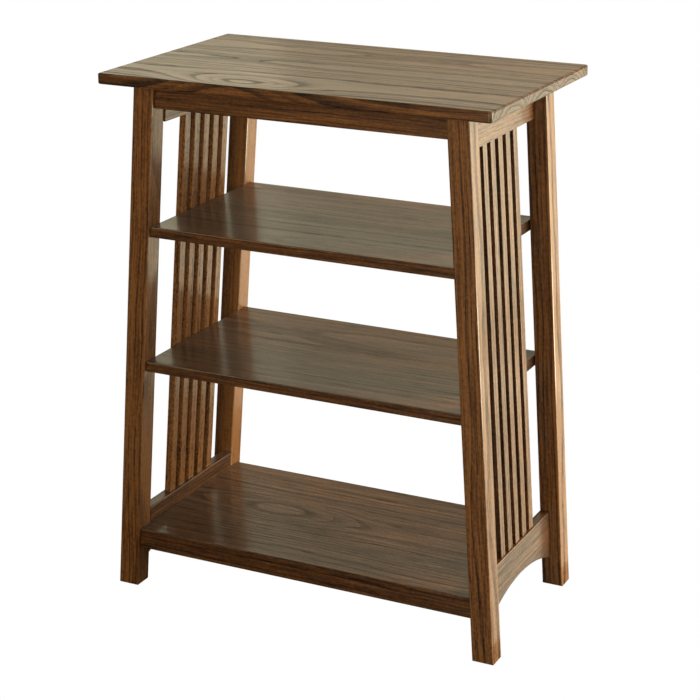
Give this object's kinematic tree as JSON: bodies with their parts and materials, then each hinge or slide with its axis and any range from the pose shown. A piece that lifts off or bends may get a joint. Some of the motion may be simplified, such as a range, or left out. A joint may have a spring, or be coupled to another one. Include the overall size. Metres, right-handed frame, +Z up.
{
  "type": "atlas stand",
  "caption": "Open oak atlas stand with leaning slatted ends, an overhanging flat top, thin shelves and a thick bottom shelf.",
  "frame": {"origin": "on the floor, under the middle of the top board", "axes": "+Z up, +X to the right along the width, -Y to the front"},
  "size_m": [0.751, 0.45, 0.965],
  "materials": {
    "stained_oak": "satin",
    "dowel_wood": "matte",
    "steel": "satin"
  },
  "bodies": {
    "root": {"top_board": "stained_oak", "leg_front_left": "stained_oak", "leg_front_right": "stained_oak", "leg_back_left": "stained_oak", "leg_back_right": "stained_oak", "upper_rail_left": "stained_oak", "upper_rail_right": "stained_oak", "lower_rail_left": "stained_oak", "lower_rail_right": "stained_oak", "slat_1_left": "stained_oak", "slat_2_left": "stained_oak", "slat_3_left": "stained_oak", "slat_4_left": "stained_oak", "slat_5_left": "stained_oak", "slat_1_right": "stained_oak", "slat_2_right": "stained_oak", "slat_3_right": "stained_oak", "slat_4_right": "stained_oak", "slat_5_right": "stained_oak", "apron_front": "stained_oak", "apron_back": "stained_oak", "upper_shelf": "stained_oak", "lower_shelf": "stained_oak", "bottom_shelf": "stained_oak", "top_cleat_left": "stained_oak", "top_cleat_right": "stained_oak", "dowel_upper_shelf_front_left": "dowel_wood", "dowel_upper_shelf_front_right": "dowel_wood", "dowel_upper_shelf_back_left": "dowel_wood", "dowel_upper_shelf_back_right": "dowel_wood", "dowel_lower_shelf_front_left": "dowel_wood", "dowel_lower_shelf_front_right": "dowel_wood", "dowel_lower_shelf_back_left": "dowel_wood", "dowel_lower_shelf_back_right": "dowel_wood", "dowel_bottom_shelf_front_left": "dowel_wood", "dowel_bottom_shelf_front_right": "dowel_wood", "dowel_bottom_shelf_back_left": "dowel_wood", "dowel_bottom_shelf_back_right": "dowel_wood", "cleat_screw_front_left": "steel", "cleat_screw_front_right": "steel", "cleat_screw_back_left": "steel", "cleat_screw_back_right": "steel"}
  },
  "joints": []
}
